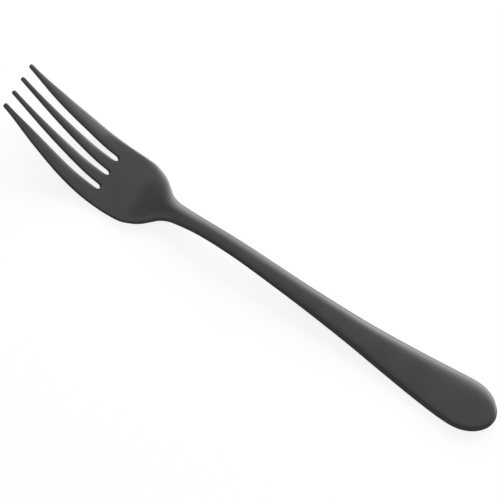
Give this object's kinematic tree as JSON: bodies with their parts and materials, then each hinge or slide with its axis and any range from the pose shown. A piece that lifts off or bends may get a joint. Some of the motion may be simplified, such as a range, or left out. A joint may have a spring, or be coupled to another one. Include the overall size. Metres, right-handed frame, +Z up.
{
  "type": "dinner fork",
  "caption": "Dark satin dinner fork: slim arched handle with a rounded end, narrow neck, broad shoulders and tapering tines that sweep up to blunt points.",
  "frame": {"origin": "centre of the fork's length and width, on the table that it lies on", "axes": "+X along the fork towards the points of the tines, +Y to the left of someone who holds it with the hollow side up, +Z up"},
  "size_m": [0.1989, 0.0268, 0.0189],
  "materials": {
    "dark_steel": "dark charcoal coating on stainless steel, even satin sheen, slightly brighter where edges turn away"
  },
  "bodies": {
    "root": {"handle_end": "dark_steel", "handle": "dark_steel", "neck": "dark_steel", "palm": "dark_steel", "left_outer_tine": "dark_steel", "left_inner_tine": "dark_steel", "right_inner_tine": "dark_steel", "right_outer_tine": "dark_steel"}
  },
  "joints": []
}
